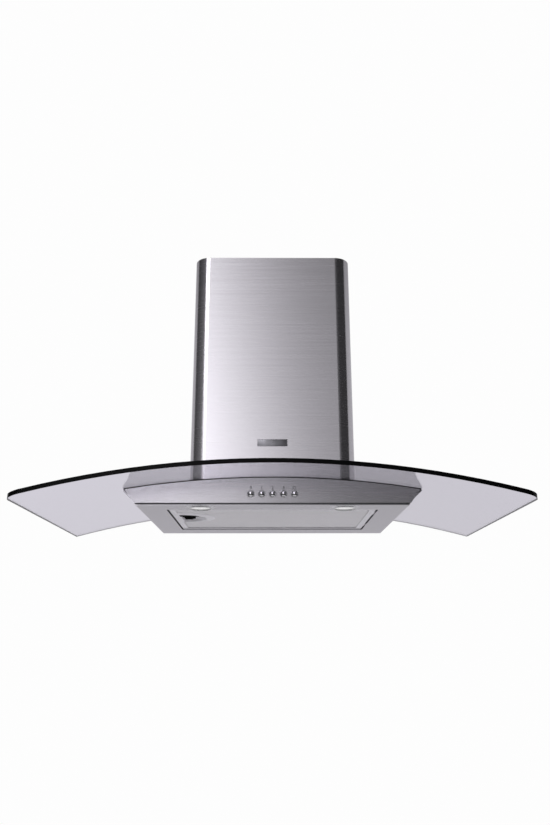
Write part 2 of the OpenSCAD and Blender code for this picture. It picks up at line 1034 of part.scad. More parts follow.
// From the control box, down past the glass, to the switch and both lamps
module wiring_loom() {
    trunk = [
        [loom_x + 1.5, loom_y, control_low.z + 1],
        [loom_x + 1.5, loom_y, 60],
        [loom_x, loom_y, 30],
        [loom_x, loom_y, 17],
        [132, -318, 17],
        [60, -336, 17],
        [30, -338, 17],
    ];
    right_lamp = [[132, -318, 17], [132, -326, 17]];
    left_lamp = [[30, -338, 17], [-60, -336, 17], [-128, -322, 17], [-132, -326, 17]];
    to_switch = [[30, -338, 17], [30, -343, 24]];
    color("black") hung() {
        wire(trunk, 2.4);
        wire(right_lamp, 1.6);
        wire(left_lamp, 1.6);
        wire(to_switch, 1.8);
    }
}

// ---- The hood ------------------------------------------------------------

glass_canopy();
glass_seal();
front_fascia();
side_wall_left();
side_wall_right();
underside_panel();
top_deck();
rear_plate();
badge_plate();
motor_box();
scroll_left();
scroll_right();
inlet_ring_left();
inlet_ring_right();
impeller();
motor_shaft();
motor_body();
motor_bearings();
motor_bracket();
motor_bushes();
capacitor();
outlet_collar();
damper_flap_left();
damper_flap_right();
damper_pin();
chimney_lower_cover();
chimney_upper_cover();
chimney_bracket();
chimney_screws();
filter_frame();
filter_mesh();
filter_handle();
filter_latch();
latch_spring();
lamp_bezel_left();
lamp_bezel_right();
lamp_lens_left();
lamp_lens_right();
lamp_housing_left();
lamp_housing_right();
lamp_bulb_left();
lamp_bulb_right();
button_1();
button_2();
button_3();
button_4();
button_5();
button_bezels();
button_springs();
switch_body();
control_box();
control_box_cover();
transformer();
cable_gland();
wiring_loom();
glass_standoffs();
glass_washers();
glass_screws();
box_screws();
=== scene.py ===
"""Wall-mounted chimney hood with an arched glass canopy: finishes, fine detail, light and camera.

Everything is in metres in the CAD's row frame: X to the right, +Y into the wall, +Z up, and the
hood's flat underside is the lowest plane of its body.
"""

import json
import math

import bmesh
import bpy
from mathutils import Matrix, Vector


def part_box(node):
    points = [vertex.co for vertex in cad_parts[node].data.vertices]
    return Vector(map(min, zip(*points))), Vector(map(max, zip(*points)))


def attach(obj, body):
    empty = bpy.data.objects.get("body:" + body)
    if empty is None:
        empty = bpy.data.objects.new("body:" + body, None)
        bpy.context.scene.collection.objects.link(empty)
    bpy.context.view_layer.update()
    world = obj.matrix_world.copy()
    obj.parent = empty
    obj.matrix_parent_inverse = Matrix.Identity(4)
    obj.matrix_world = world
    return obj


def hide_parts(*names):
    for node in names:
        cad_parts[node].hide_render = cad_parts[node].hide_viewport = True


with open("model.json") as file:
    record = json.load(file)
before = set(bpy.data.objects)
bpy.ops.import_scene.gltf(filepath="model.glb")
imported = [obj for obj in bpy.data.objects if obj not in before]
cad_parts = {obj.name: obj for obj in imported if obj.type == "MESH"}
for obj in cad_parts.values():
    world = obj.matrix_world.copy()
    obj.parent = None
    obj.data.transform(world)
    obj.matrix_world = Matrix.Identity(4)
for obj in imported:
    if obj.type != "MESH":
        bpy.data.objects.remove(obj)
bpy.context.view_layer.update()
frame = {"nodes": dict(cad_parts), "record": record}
nodes = frame["nodes"]
MM = 0.001


# ---- Camera, background and light ----------------------------------------


def make_camera():
    """Eye a little under the canopy, looking slightly up, as the hood is usually seen."""
    data = bpy.data.cameras.new("camera")
    data.sensor_fit = "HORIZONTAL"
    data.sensor_width = 36
    data.lens = 49.17
    data.clip_end = 50
    camera = bpy.data.objects.new("camera", data)
    bpy.context.scene.collection.objects.link(camera)
    eye = (-0.005, -1.741, -0.4345)
    yaw, pitch, roll = -0.0070, 0.2933, 0.0014
    turn = (
        Matrix.Rotation(yaw, 4, "Z")
        @ Matrix.Rotation(math.pi / 2 + pitch, 4, "X")
        @ Matrix.Rotation(-roll, 4, "Z")
    )
    camera.matrix_world = Matrix.Translation(eye) @ turn
    bpy.context.scene.camera = camera


def node(tree, kind, **settings):
    """Adds a node. Settings that name an input fill it in, and the others are its properties."""
    made = tree.nodes.new(kind)
    for name, value in settings.items():
        spoken = name.replace("_", " ")
        if spoken in made.inputs:
            made.inputs[spoken].default_value = value
        else:
            setattr(made, name, value)
    return made


def join(tree, source, target):
    """Links an output socket to an input socket."""
    tree.links.new(source, target)


def math_node(tree, operation, first, second=None, third=None):
    """A Math node on sockets or numbers; returns its output."""
    made = tree.nodes.new("ShaderNodeMath")
    made.operation = operation
    for socket, value in zip(made.inputs, (first, second, third)):
        if isinstance(value, bpy.types.NodeSocket):
            join(tree, value, socket)
        elif value is not None:
            socket.default_value = value
    return made.outputs[0]


def ramp(tree, value, stops, smooth=False):
    """A ColorRamp from (position, grey or colour) stops; returns its colour output."""
    made = tree.nodes.new("ShaderNodeValToRGB")
    made.color_ramp.interpolation = "EASE" if smooth else "LINEAR"
    elements = made.color_ramp.elements
    while len(elements) < len(stops):
        elements.new(0.5)
    for element, (position, colour) in zip(elements, stops):
        element.position = position
        if not isinstance(colour, tuple):
            colour = (colour,) * 3
        element.color = (*colour, 1)
    join(tree, value, made.inputs[0])
    return made.outputs[0]


def mix_value(tree, factor, first, second):
    """Blend of two numbers or sockets; returns the output."""
    made = node(tree, "ShaderNodeMix", data_type="FLOAT")
    join(tree, factor, made.inputs[0])
    for socket, value in zip(made.inputs[2:4], (first, second)):
        if isinstance(value, bpy.types.NodeSocket):
            join(tree, value, socket)
        else:
            socket.default_value = value
    return made.outputs[0]


def mix_colour(tree, factor, first, second):
    """Blend of two colours, given as tuples; returns the output."""
    made = node(tree, "ShaderNodeMix", data_type="RGBA")
    join(tree, factor, made.inputs[0])
    made.inputs[6].default_value = (*first, 1)
    made.inputs[7].default_value = (*second, 1)
    return made.outputs[2]


# The studio round the hood: (bearing in degrees, brightness), where 0 is behind the camera and
# -90 is on the left. A white panel stands just left of the camera, black flags mark both sides.
STUDIO = [
    (-180, 0.67), (-162, 0.67), (-150, 0.60), (-106, 0.55), (-103, 0.04), (-92, 0.08), (-66, 0.16),
    (-46, 0.24), (-36, 0.34), (-28, 0.5), (-20, 0.9), (-14, 2.4), (-5.3, 2.6), (-4.6, 2.0),
    (-3.6, 1.62), (0, 1.05), (4, 0.54), (6, 0.44), (8, 0.50), (10, 0.48), (14, 0.3),
    (18, 0.06), (70, 0.06), (76, 0.01), (80, 0.01), (84, 0.60), (150, 0.60), (162, 0.58),
    (180, 0.56),
]
BRIGHTEST = 2.6
# The panels in front lean: above LEAN_FROM degrees, each degree drifts their edge left by LEAN
LEAN = 0.27
LEAN_FROM = 13
# How the panels fade: (height in degrees, share of their brightness)
PANEL_FADE = [
    (-90, 0.06), (-30, 0.08), (-12, 0.12), (-6, 0.25), (0, 0.78), (6, 0.92), (16, 1.0), (22, 1.0),
    (26, 0.7), (32, 0.42), (40, 0.3),
]
# The floor towards the wall, in the same way but as brightness
FLOOR_BEHIND = [(-90, 1.0), (-36, 1.0), (-16, 0.62), (0, 0.6)]
CEILING = 0.5
# One small soft box, high on the left. Its soft edge lies between two cosines off its middle
BOX_BEARING = math.radians(-22)
BOX_RISE = 0.62
BOX_EDGE = (0.980, 0.989)
BOX_BRIGHTNESS = 4.5
TINT = (1.01, 0.99, 1.045)  # a trace of lilac in the whole studio
BACKDROP = 0.984
BELOW_THE_GLASS = 0.7  # brightness of the lower half as seen through the glass


def make_panels(tree, direction):
    """The studio's brightness in a direction, and a factor that is 1 below the horizon."""
    split = node(tree, "ShaderNodeSeparateXYZ")
    join(tree, direction, split.inputs[0])
    x, y, z = split.outputs
    forward = math_node(tree, "MULTIPLY", y, -1)
    bearing = math_node(tree, "ARCTAN2", x, forward)
    height = math_node(tree, "ARCSINE", z)
    raised = math_node(tree, "SUBTRACT", height, math.radians(LEAN_FROM))
    front = ramp(tree, forward, [(0.80, 0.0), (0.93, 1.0)], smooth=True)
    lean = math_node(tree, "MULTIPLY", math_node(tree, "MULTIPLY", raised, LEAN), front)
    leaning = math_node(tree, "ADD", bearing, lean)
    place = math_node(tree, "MULTIPLY_ADD", leaning, 0.5 / math.pi, 0.5)
    stops = [(0.5 + a / 360, level / BRIGHTEST) for a, level in STUDIO]
    around = math_node(tree, "MULTIPLY", ramp(tree, place, stops), BRIGHTEST)
    # The panels fade upwards and downwards, the ceiling is even, and so is the floor at the back
    over = math_node(tree, "MULTIPLY_ADD", height, 1 / math.pi, 0.5)
    fade = ramp(tree, over, [(0.5 + a / 180, level) for a, level in PANEL_FADE])
    ceiling = ramp(tree, over, [(0.78, 0.0), (0.86, 1.0)], smooth=True)
    upper = mix_value(tree, ceiling, math_node(tree, "MULTIPLY", around, fade), CEILING)
    below = ramp(tree, over, [(0.47, 1.0), (0.5, 0.0)], smooth=True)
    behind = ramp(tree, math_node(tree, "MULTIPLY_ADD", y, 0.5, 0.5), [(0.42, 0.0), (0.6, 1.0)])
    floor = ramp(tree, over, [(0.5 + a / 180, level) for a, level in FLOOR_BEHIND])
    level = mix_value(tree, math_node(tree, "MULTIPLY", below, behind), upper, floor)
    aim = Vector((math.sin(BOX_BEARING), -math.cos(BOX_BEARING), BOX_RISE)).normalized()
    dot = node(tree, "ShaderNodeVectorMath", operation="DOT_PRODUCT")
    join(tree, direction, dot.inputs[0])
    dot.inputs[1].default_value = aim
    outside, inside = BOX_EDGE
    box = ramp(tree, dot.outputs["Value"], [(outside, 0.0), (inside, 1.0)], smooth=True)
    return math_node(tree, "MULTIPLY_ADD", box, BOX_BRIGHTNESS, level), below


def make_world():
    """Soft panels all round for light and reflections, and a plain near-white backdrop."""
    world = bpy.data.worlds.new("studio")
    bpy.context.scene.world = world
    world.use_nodes = True
    tree = world.node_tree
    tree.nodes.clear()
    level, below = make_panels(tree, node(tree, "ShaderNodeTexCoord").outputs["Generated"])
    # The lower half is mostly dark, so what the glass shows of it from above is made pale
    path = node(tree, "ShaderNodeLightPath")
    through = math_node(tree, "MULTIPLY", path.outputs["Is Transmission Ray"], below)
    level = mix_value(tree, through, level, BELOW_THE_GLASS)
    tinted = node(tree, "ShaderNodeVectorMath", operation="SCALE")
    tinted.inputs[0].default_value = TINT
    join(tree, level, tinted.inputs["Scale"])
    backdrop = node(tree, "ShaderNodeBackground")
    backdrop.inputs["Color"].default_value = (BACKDROP, BACKDROP, BACKDROP, 1)
    panels = node(tree, "ShaderNodeBackground")
    join(tree, tinted.outputs[0], panels.inputs["Color"])
    mix = node(tree, "ShaderNodeMixShader")
    join(tree, path.outputs["Is Camera Ray"], mix.inputs[0])
    join(tree, panels.outputs[0], mix.inputs[1])
    join(tree, backdrop.outputs[0], mix.inputs[2])
    join(tree, mix.outputs[0], node(tree, "ShaderNodeOutputWorld").inputs[0])
    bpy.context.scene.view_settings.view_transform = "Standard"


# ---- Finishes ------------------------------------------------------------


def new_finish(name, metallic=0.0, roughness=0.5, colour=(0.5, 0.5, 0.5)):
    """A Principled material; returns it, its tree and its shader."""
    made = bpy.data.materials.new(name)
    made.use_nodes = True
    tree = made.node_tree
    shader = tree.nodes["Principled BSDF"]
    shader.inputs["Base Color"].default_value = (*colour, 1)
    shader.inputs["Metallic"].default_value = metallic
    shader.inputs["Roughness"].default_value = roughness
    return made, tree, shader


def scaled_place(tree, scale):
    """Object coordinates stretched by a scale for each axis."""
    place = node(tree, "ShaderNodeTexCoord")
    mapping = node(tree, "ShaderNodeMapping")
    mapping.inputs["Scale"].default_value = scale
    join(tree, place.outputs["Object"], mapping.inputs["Vector"])
    return mapping.outputs[0]


def noise(tree, scale, detail=3.0):
    """Noise whose scale is in cycles per metre along X, Y and Z; returns the value output."""
    made = node(tree, "ShaderNodeTexNoise", Scale=1.0, Detail=detail, Roughness=0.5)
    join(tree, scaled_place(tree, scale), made.inputs["Vector"])
    return made.outputs["Fac"]


def bump(tree, shader, height, depth):
    """Bump of the given depth in metres."""
    made = node(tree, "ShaderNodeBump", Strength=1.0, Distance=depth)
    join(tree, height, made.inputs["Height"])
    join(tree, made.outputs[0], shader.inputs["Normal"])


def spread(tree, value, low, high):
    """Maps noise, which stays near its middle, onto low to high."""
    made = node(tree, "ShaderNodeMapRange", From_Min=0.3, From_Max=0.7, To_Min=low, To_Max=high)
    join(tree, value, made.inputs["Value"])
    return made.outputs[0]


def brushed_steel(name, grain, axis, rotation, tint=(0.605, 0.595, 0.61), rough=0.24):
    """Stainless steel. grain is the noise scale for each axis: low along the brush lines.

    axis and rotation set the direction in which reflections blur, which is across the lines.
    """
    made, tree, shader = new_finish(name, metallic=1.0, roughness=rough)
    shader.inputs["Anisotropic"].default_value = 0.85
    shader.inputs["Anisotropic Rotation"].default_value = rotation
    tangent = node(tree, "ShaderNodeTangent", direction_type="RADIAL", axis=axis)
    join(tree, tangent.outputs[0], shader.inputs["Tangent"])
    fine = noise(tree, grain, detail=2.0)
    wide = noise(tree, tuple(0.12 * s for s in grain), detail=2.0)
    both = math_node(tree, "MULTIPLY_ADD", wide, 0.25, math_node(tree, "MULTIPLY", fine, 0.75))
    lighter = tuple(min(1.0, c * 1.07) for c in tint)
    darker = tuple(c * 0.93 for c in tint)
    colour = mix_colour(tree, spread(tree, both, 0, 1), darker, lighter)
    join(tree, colour, shader.inputs["Base Color"])
    join(tree, spread(tree, both, rough - 0.04, rough + 0.04), shader.inputs["Roughness"])
    bump(tree, shader, fine, 0.00001)
    return made


def galvanised(name):
    """Zinc-coated sheet with its frosty spangle."""
    made, tree, shader = new_finish(name, metallic=1.0, roughness=0.42)
    cells = node(tree, "ShaderNodeTexVoronoi", Scale=1.0, Randomness=1.0)
    join(tree, scaled_place(tree, (110, 110, 110)), cells.inputs["Vector"])
    grey = node(tree, "ShaderNodeSeparateColor")
    join(tree, cells.outputs["Color"], grey.inputs[0])
    cloud = noise(tree, (14, 14, 14))
    facets = math_node(tree, "MULTIPLY", grey.outputs[0], 0.4)
    flake = math_node(tree, "MULTIPLY_ADD", cloud, 0.6, facets)
    colour = mix_colour(tree, flake, (0.46, 0.47, 0.48), (0.66, 0.67, 0.68))
    join(tree, colour, shader.inputs["Base Color"])
    join(tree, spread(tree, flake, 0.36, 0.5), shader.inputs["Roughness"])
    bump(tree, shader, grey.outputs[0], 0.00002)
    return made


def polished(name, colour, rough):
    """Plated or turned metal with faint wear and smears."""
    made, tree, shader = new_finish(name, metallic=1.0, roughness=rough)
    smear = noise(tree, (90, 90, 90), detail=4.0)
    dull = tuple(c * 0.92 for c in colour)
    join(tree, mix_colour(tree, spread(tree, smear, 0, 1), dull, colour), shader.inputs["Base Color"])
    join(tree, spread(tree, smear, rough * 0.8, rough * 1.3), shader.inputs["Roughness"])
    return made


def aluminium(name, lines, colour, rough, metallic=1.0):
    """Satin aluminium with drawn lines; lines is the noise scale for each axis."""
    made, tree, shader = new_finish(name, metallic=metallic, roughness=rough)
    drawn = noise(tree, lines, detail=3.0)
    dull = tuple(c * 0.86 for c in colour)
    join(tree, mix_colour(tree, spread(tree, drawn, 0, 1), dull, colour), shader.inputs["Base Color"])
    join(tree, spread(tree, drawn, rough - 0.05, rough + 0.08), shader.inputs["Roughness"])
    bump(tree, shader, drawn, 0.00002)
    return made


def moulded(name, colour, rough, depth=0.00006, grain=900, shine=0.5):
    """Moulded plastic or rubber with a fine spark-eroded grain."""
    made, tree, shader = new_finish(name, roughness=rough)
    shader.inputs["Specular IOR Level"].default_value = shine
    shader.inputs["IOR"].default_value = 1.5
    pits = noise(tree, (grain, grain, grain), detail=2.0)
    cloud = noise(tree, (25, 25, 25))
    tone = mix_colour(tree, spread(tree, cloud, 0, 1), tuple(c * 0.88 for c in colour), colour)
    join(tree, tone, shader.inputs["Base Color"])
    join(tree, spread(tree, cloud, rough - 0.06, rough + 0.06), shader.inputs["Roughness"])
    bump(tree, shader, pits, depth)
    return made


def cast_metal(name):
    """Painted die-cast metal with a pebbled skin."""
    made, tree, shader = new_finish(name, metallic=0.6, roughness=0.5)
    skin = noise(tree, (420, 420, 420), detail=4.0)
    colour = mix_colour(tree, spread(tree, skin, 0, 1), (0.22, 0.23, 0.24), (0.34, 0.35, 0.36))
    join(tree, colour, shader.inputs["Base Color"])
    join(tree, spread(tree, skin, 0.42, 0.6), shader.inputs["Roughness"])
    bump(tree, shader, skin, 0.0002)
    return made


def canopy_glass(name):
    """Clear tempered glass whose edge faces are ground, polished and dark."""
    made, tree, shader = new_finish(name, roughness=0.0, colour=(0.955, 0.94, 1.0))
    shader.inputs["Transmission Weight"].default_value = 1.0
    shader.inputs["IOR"].default_value = 1.5
    film = noise(tree, (30, 30, 30), detail=4.0)
    join(tree, spread(tree, film, 0.0, 0.012), shader.inputs["Roughness"])
    edge = node(tree, "ShaderNodeBsdfPrincipled", Roughness=0.2)
    edge.inputs["Specular IOR Level"].default_value = 0.04
    speck = noise(tree, (700, 700, 700))
    black, nearly_black = (0.001, 0.0012, 0.0012), (0.004, 0.0045, 0.0045)
    tone = mix_colour(tree, spread(tree, speck, 0, 1), black, nearly_black)
    join(tree, tone, edge.inputs["Base Color"])
    facing = node(tree, "ShaderNodeNewGeometry")
    split = node(tree, "ShaderNodeSeparateXYZ")
    join(tree, facing.outputs["True Normal"], split.inputs[0])
    flat = math_node(tree, "ABSOLUTE", split.outputs["Z"])
    upright = math_node(tree, "LESS_THAN", flat, 0.5)
    mix = node(tree, "ShaderNodeMixShader")
    join(tree, upright, mix.inputs[0])
    join(tree, shader.outputs[0], mix.inputs[1])
    join(tree, edge.outputs[0], mix.inputs[2])
    join(tree, mix.outputs[0], tree.nodes["Material Output"].inputs["Surface"])
    return made


def lens_glass(name):
    """Pressed, lightly frosted lamp glass."""
    made, tree, shader = new_finish(name, roughness=0.25, colour=(0.95, 0.95, 0.93))
    shader.inputs["Transmission Weight"].default_value = 0.15
    shader.inputs["Emission Color"].default_value = (0.95, 0.95, 0.92, 1)
    shader.inputs["Emission Strength"].default_value = 0.25
    shader.inputs["IOR"].default_value = 1.48
    frost = noise(tree, (1500, 1500, 1500), detail=2.0)
    join(tree, spread(tree, frost, 0.15, 0.4), shader.inputs["Roughness"])
    bump(tree, shader, frost, 0.00003)
    return made


def bulb_glass(name):
    """Clear quartz with a trace of heat haze."""
    made, tree, shader = new_finish(name, roughness=0.02, colour=(0.98, 0.98, 0.97))
    shader.inputs["Transmission Weight"].default_value = 0.8
    shader.inputs["IOR"].default_value = 1.46
    haze = noise(tree, (200, 200, 200))
    join(tree, spread(tree, haze, 0.0, 0.08), shader.inputs["Roughness"])
    return made


FINE, LONG = 2600, 9  # noise cycles per metre across the brush lines and along them
finishes = {
    "glass": canopy_glass("canopy_glass"),
    "brushed_steel": brushed_steel("brushed_steel", (LONG, LONG, FINE), "Z", 0.25),
    "zinc_steel": galvanised("galvanised_steel"),
    "chrome": polished("chrome", (0.83, 0.83, 0.84), 0.07),
    "mesh_aluminium": aluminium("mesh_aluminium", (600, 600, 600), (1.0, 0.99, 1.0), 0.34, 0.4),
    "frame_aluminium": aluminium("frame_aluminium", (12, 900, 900), (0.86, 0.85, 0.88), 0.36, 0.2),
    "seal_rubber": moulded("seal_rubber", (0.02, 0.02, 0.021), 0.7, grain=500),
    "black_plastic": moulded("black_plastic", (0.018, 0.018, 0.02), 0.42),
    "grey_plastic": moulded("grey_plastic", (0.16, 0.165, 0.17), 0.45),
    "white_plastic": moulded("white_plastic", (0.72, 0.72, 0.70), 0.4),
    "blower_plastic": moulded("blower_plastic", (0.10, 0.105, 0.115), 0.5),
    "cast_motor": cast_metal("cast_motor"),
    "steel": polished("turned_steel", (0.56, 0.56, 0.57), 0.26),
    "lens_glass": lens_glass("lamp_glass"),
    "bulb_glass": bulb_glass("bulb_glass"),
    "badge": polished("badge_metal", (0.20, 0.20, 0.21), 0.3),
}
# The underside panel's steel is the brushed steel with a darker tint: painted shade on the
# downward-facing side.
shaded_underside_steel = brushed_steel("shaded_underside_steel", (LONG, FINE, FINE), "X", 0.0, (0.49, 0.48, 0.50))
# Matte black: the latch slide's own colour, and also painted shadow for the crescent at the finger
# cup's front.
matte_black = moulded("matte_black", (0.006, 0.006, 0.006), 0.9, shine=0.02)
# The fascia's steel is the brushed steel with a darker tint: painted shade.
shaded_fascia_steel = brushed_steel("shaded_fascia_steel", (LONG, LONG, FINE), "Z", 0.25, (0.375, 0.37, 0.38))


def finish_cad_nodes():
    """Every carried-over node gets the finish of its slot in the record."""
    for row in frame["record"]["subparts"]:
        mesh = nodes[row["node"]].data
        mesh.materials.clear()
        mesh.materials.append(finishes[row["material_slot"]])
    # The underside panel gets the darker copy of the brushed steel: painted shade.
    nodes["underside_panel"].data.materials[0] = shaded_underside_steel
    # The fascia gets the darker copy of the brushed steel: painted shade.
    nodes["front_fascia"].data.materials[0] = shaded_fascia_steel


# ---- Pieces --------------------------------------------------------------


def piece(name, mesh, finish, body, slot, *replaced):
    """A mesh as a piece of the hood that rides on a body and may stand for CAD nodes."""
    made = bpy.data.objects.new(name, mesh)
    bpy.context.scene.collection.objects.link(made)
    mesh.materials.clear()
    mesh.materials.append(finish)
    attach(made, body)
    if replaced:
        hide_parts(*replaced)
    return made


def as_mesh(name, shape, smooth_below=None):
    """Turns a bmesh into a mesh; edges flatter than an angle in degrees are shaded smooth."""
    mesh = bpy.data.meshes.new(name)
    bmesh.ops.recalc_face_normals(shape, faces=shape.faces)
    shape.to_mesh(mesh)
    shape.free()
    if smooth_below:
        mesh.shade_smooth()
        mesh.set_sharp_from_angle(angle=math.radians(smooth_below))
    return mesh


def turned(shape, profile, matrix, segments=64):
    """Adds a body of revolution about Z to a bmesh. The profile is (radius, height) points.

    A profile that ends where it starts makes a ring with a hole.
    """
    smallest = 1e-7  # below this radius a point of the profile is one vertex on the axis
    angles = [2 * math.pi * k / segments for k in range(segments)]
    closed = profile[0] == profile[-1]
    rings = []
    for radius, height in profile[:-1] if closed else profile:
        if radius < smallest:
            points = [(0, 0, height)]
        else:
            points = [(radius * math.cos(a), radius * math.sin(a), height) for a in angles]
        rings.append([shape.verts.new(matrix @ Vector(point)) for point in points])
    if closed:
        rings.append(rings[0])
    for one, two in zip(rings, rings[1:]):
        for k in range(segments):
            j = (k + 1) % segments
            corners = [one[k % len(one)], one[j % len(one)], two[j % len(two)], two[k % len(two)]]
            shape.faces.new(list(dict.fromkeys(corners)))


def arc(centre, radius, start, end, steps):
    """Points (a, b) along an arc, with angles in degrees."""
    angles = [math.radians(start + (end - start) * i / steps) for i in range(steps + 1)]
    return [(centre[0] + radius * math.cos(a), centre[1] + radius * math.sin(a)) for a in angles]


def soft_block(shape, low, high, radius, segments=2):
    """Adds a block between two corners, with all its edges rounded."""
    low, high = Vector(low), Vector(high)
    made = bmesh.ops.create_cube(shape, size=1)["verts"]
    for vert in made:
        vert.co = (low + high) / 2 + Vector(a * b for a, b in zip(vert.co, high - low))
    edges = list({edge for vert in made for edge in vert.link_edges})
    bmesh.ops.bevel(
        shape, geom=edges, offset=radius, segments=segments, affect="EDGES", profile=0.5
    )


def loft(shape, outlines, close_first=False, slot_bands=()):
    """Joins closed outlines of the same number of points into a skin and closes the last one.

    In the bands named by slot_bands, the face between the outlines' last two points is left out.
    """
    rings = [[shape.verts.new(point) for point in outline] for outline in outlines]
    count = len(rings[0])
    for band, (one, two) in enumerate(zip(rings, rings[1:])):
        for k in range(count):
            if band in slot_bands and k == count - 2:
                continue
            j = (k + 1) % count
            shape.faces.new((one[k], one[j], two[j], two[k]))
    shape.faces.new(rings[-1])
    if close_first:
        shape.faces.new(rings[0])


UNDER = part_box("underside_panel")[0].z  # height of the hood's underside
FASCIA_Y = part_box("front_fascia")[0].y  # foremost face of the fascia
SIDES = ("left", "right")
BUTTONS = range(1, 6)
LAMP_BUTTON = 5


def under(x, y, z):
    """A point given in millimetres, with its height over the underside."""
    return Vector((x * MM, y * MM, UNDER + z * MM))


def facing_out(x, z):
    """Places a shape on the fascia so that its Z axis points out of it, towards the user."""
    return Matrix.Translation((x, 0, z)) @ Matrix.Rotation(math.pi / 2, 4, "X")


# ---- Lamps ---------------------------------------------------------------


def lens_profile(radius, face):
    """Domed lens with fine ring-shaped ribs and a rounded rim; face is its lowest height."""
    ribs, steps_per_rib = 10, 6
    steps = ribs * steps_per_rib
    rise, rib = 1.6 * MM, 0.12 * MM
    rim_r = radius * 0.96
    rim_z, back_z, edge_z = 2.2 * MM, -0.4 * MM, -0.6 * MM
    profile = []
    for i in range(steps + 1):
        r = rim_r * i / steps
        wave = rib * math.cos(2 * math.pi * i / steps_per_rib)
        profile.append((r, face + rise * (r / radius) ** 2 + wave))
    profile += arc((rim_r, face + rim_z), radius - rim_r, -80, 0, 4)
    return profile + [(radius, edge_z), (radius * 0.9, back_z), (0, back_z)]


def bezel_profile(inner, outer, drop, top):
    """Rolled lip round the lens, a flange against the panel and a neck through it."""
    lip_r, wall, gap = 1 * MM, 1 * MM, 0.02 * MM
    neck = outer - 3.4 * MM
    step_z = 0.5 * MM
    profile = arc((inner + lip_r, drop + lip_r), lip_r, 180, 315, 8)
    profile += [(inner + 2.4 * MM, -1.7 * MM), (outer - 0.6 * MM, -0.5 * MM)]
    profile += [(outer, -gap), (neck, -gap), (neck, top), (neck - wall, top)]
    profile += [(neck - wall, step_z), (inner, step_z)]
    return profile + profile[:1]


def make_lamps():
    """Ribbed glass lens and a rolled chrome bezel for each lamp."""
    for side in SIDES:
        lens, bezel = "lamp_lens_" + side, "lamp_bezel_" + side
        low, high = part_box(lens)
        centre = Matrix.Translation(((low.x + high.x) / 2, (low.y + high.y) / 2, UNDER))
        radius = (high.x - low.x) / 2
        shape = bmesh.new()
        turned(shape, lens_profile(radius, low.z - UNDER + 0.1 * MM), centre)
        mesh = as_mesh("lens_mesh_" + side, shape, 50)
        piece("lamp_glass_" + side, mesh, finishes["lens_glass"], "hood", "lens_glass", lens)
        low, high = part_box(bezel)
        outer = (high.x - low.x) / 2
        shape = bmesh.new()
        turned(shape, bezel_profile(radius + 0.25 * MM, outer, low.z - UNDER, high.z - UNDER), centre)
        mesh = as_mesh("bezel_mesh_" + side, shape, 40)
        piece("lamp_ring_" + side, mesh, finishes["steel"], "hood", "chrome", bezel)


# ---- Front ---------------------------------------------------------------

HOLE_R = 6.15 * MM  # hole in a collar, for its button
MARK_T = 0.05 * MM  # thickness of the printed marks


def cap_profile(front, back):
    """Domed button on a stem; front and back are how far out they lie."""
    radius = HOLE_R - 0.15 * MM
    stem = 3 * MM
    dome = 5.2 * MM
    steps = 14
    shoulder = front - dome - 0.5 * MM
    profile = [(0, back), (stem, back), (stem, shoulder), (radius, shoulder)]
    for i in range(steps + 1):
        a = math.pi / 2 * i / steps
        profile.append((radius * math.cos(a), front - dome + dome * math.sin(a)))
    return profile


def collar_profile(outer):
    """Half-round collar on the fascia."""
    face = -FASCIA_Y
    middle = (HOLE_R + outer) / 2
    profile = [(HOLE_R, face)]
    profile += arc((middle, face + 0.05 * MM), outer - middle, 180, 0, 8)
    return profile + [(outer, face), (HOLE_R, face)]


def make_buttons():
    """Domed chrome buttons and their collars."""
    low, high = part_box("button_bezels")
    collar_r = (high.z - low.z) / 2
    collars = bmesh.new()
    for number in BUTTONS:
        cad = "button_%d" % number
        low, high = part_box(cad)
        turn = facing_out((low.x + high.x) / 2, (low.z + high.z) / 2)
        shape = bmesh.new()
        turned(shape, cap_profile(-low.y, -high.y), turn, 40)
        mesh = as_mesh(cad + "_mesh", shape, 50)
        piece("button_cap_%d" % number, mesh, finishes["chrome"], cad, "chrome", cad)
        turned(collars, collar_profile(collar_r), turn, 40)
    mesh = as_mesh("collars_mesh", collars, 40)
    piece("button_collars", mesh, finishes["steel"], "hood", "chrome", "button_bezels")


def digit_mesh(digit):
    """Mesh of one printed digit, in the XY plane."""
    text = bpy.data.curves.new("digit", "FONT")
    text.body = str(digit)
    text.size = 8.4 * MM
    text.extrude = MARK_T
    text.align_x = "CENTER"
    text.align_y = "CENTER"
    writing = bpy.data.objects.new("digit", text)
    mesh = bpy.data.meshes.new_from_object(writing)
    bpy.data.objects.remove(writing)
    bpy.data.curves.remove(text)
    return mesh


def make_marks():
    """Speed numbers from 0 to 3 and a ring for the lamps, printed over the buttons."""
    inner, outer = 2.3 * MM, 3.1 * MM
    shape = bmesh.new()
    for number in BUTTONS:
        low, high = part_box("button_%d" % number)
        turn = facing_out((low.x + high.x) / 2, (low.z + high.z) / 2 + 11 * MM)
        turn.translation.y = FASCIA_Y
        if number == LAMP_BUTTON:
            ring = [(inner, 0), (inner, MARK_T), (outer, MARK_T), (outer, 0), (inner, 0)]
            turned(shape, ring, turn, 32)
            continue
        mesh = digit_mesh(number - 1)
        mesh.transform(turn)
        shape.from_mesh(mesh)
        bpy.data.meshes.remove(mesh)
    mesh = bpy.data.meshes.new("marks_mesh")
    shape.to_mesh(mesh)
    shape.free()
    piece("button_marks", mesh, finishes["black_plastic"], "hood", "black_plastic")


